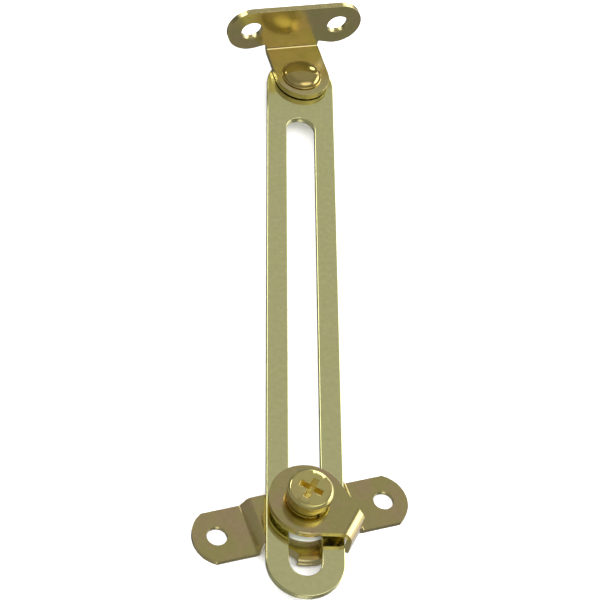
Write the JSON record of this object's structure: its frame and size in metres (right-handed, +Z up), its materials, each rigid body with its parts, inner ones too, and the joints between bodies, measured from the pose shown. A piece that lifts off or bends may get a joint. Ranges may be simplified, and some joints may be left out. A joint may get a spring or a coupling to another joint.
{
  "type": "casement window stay",
  "caption": "Slotted casement window stay: an arm slides and swings under a clamp screw on a frame bracket, and carries a riveted sash bracket.",
  "frame": {"origin": "on the clamp screw's axis, in the plane that the frame bracket's wings rest on", "axes": "+Z up, away from the window frame along the clamp screw; +Y along the slotted arm at rest, towards the sash bracket; +X to the right of the arm seen from above"},
  "size_m": [0.045, 0.1561, 0.0197],
  "materials": {
    "arm_plate": "bright brass plating on cold rolled steel",
    "bracket_plate": "bright brass plating with a faint iridescent passivation",
    "sash_plate": "bright brass plating on pressed steel",
    "screw_plate": "bright brass plating on a turned and rolled screw",
    "nylon": "natural white nylon"
  },
  "bodies": {
    "frame": {"frame_bracket": "bracket_plate", "nut_plate": "bracket_plate", "keeper_plate": "bracket_plate", "pressure_washer": "screw_plate", "upper_friction_washer": "nylon"},
    "bush": {"slide_bush": "nylon"},
    "arm": {"slotted_arm": "arm_plate", "pivot_rivet": "sash_plate", "pivot_washer": "sash_plate"},
    "sash": {"sash_bracket": "sash_plate"},
    "washer": {"spring_washer": "screw_plate"},
    "screw": {"clamp_screw": "screw_plate"}
  },
  "joints": [
    {"name": "arm_swing", "type": "hinge", "parent": "frame", "child": "bush", "pos_m": [0, 0, 0.0035], "axis": [0, 0, 1], "range_deg": [-50, 0]},
    {"name": "arm_slide", "type": "slide", "parent": "bush", "child": "arm", "axis": [0, 1, 0], "range_m": [-0.1046, 0.0125]},
    {"name": "sash_swing", "type": "hinge", "parent": "arm", "child": "sash", "pos_m": [0, 0.1204, 0.0067], "axis": [0, 0, 1], "range_deg": [-90, 74.5]},
    {"name": "screw_lift", "type": "slide", "parent": "frame", "child": "washer", "axis": [0, 0, 1], "range_m": [0, 0.0008]},
    {"name": "screw_turn", "type": "hinge", "parent": "washer", "child": "screw", "pos_m": [0, 0, 0.01], "axis": [0, 0, 1], "range_deg": [0, 360]}
  ],
  "couplings": [
    {"joint": "screw_turn", "follows": "screw_lift", "rad_per_m": 7854}
  ]
}
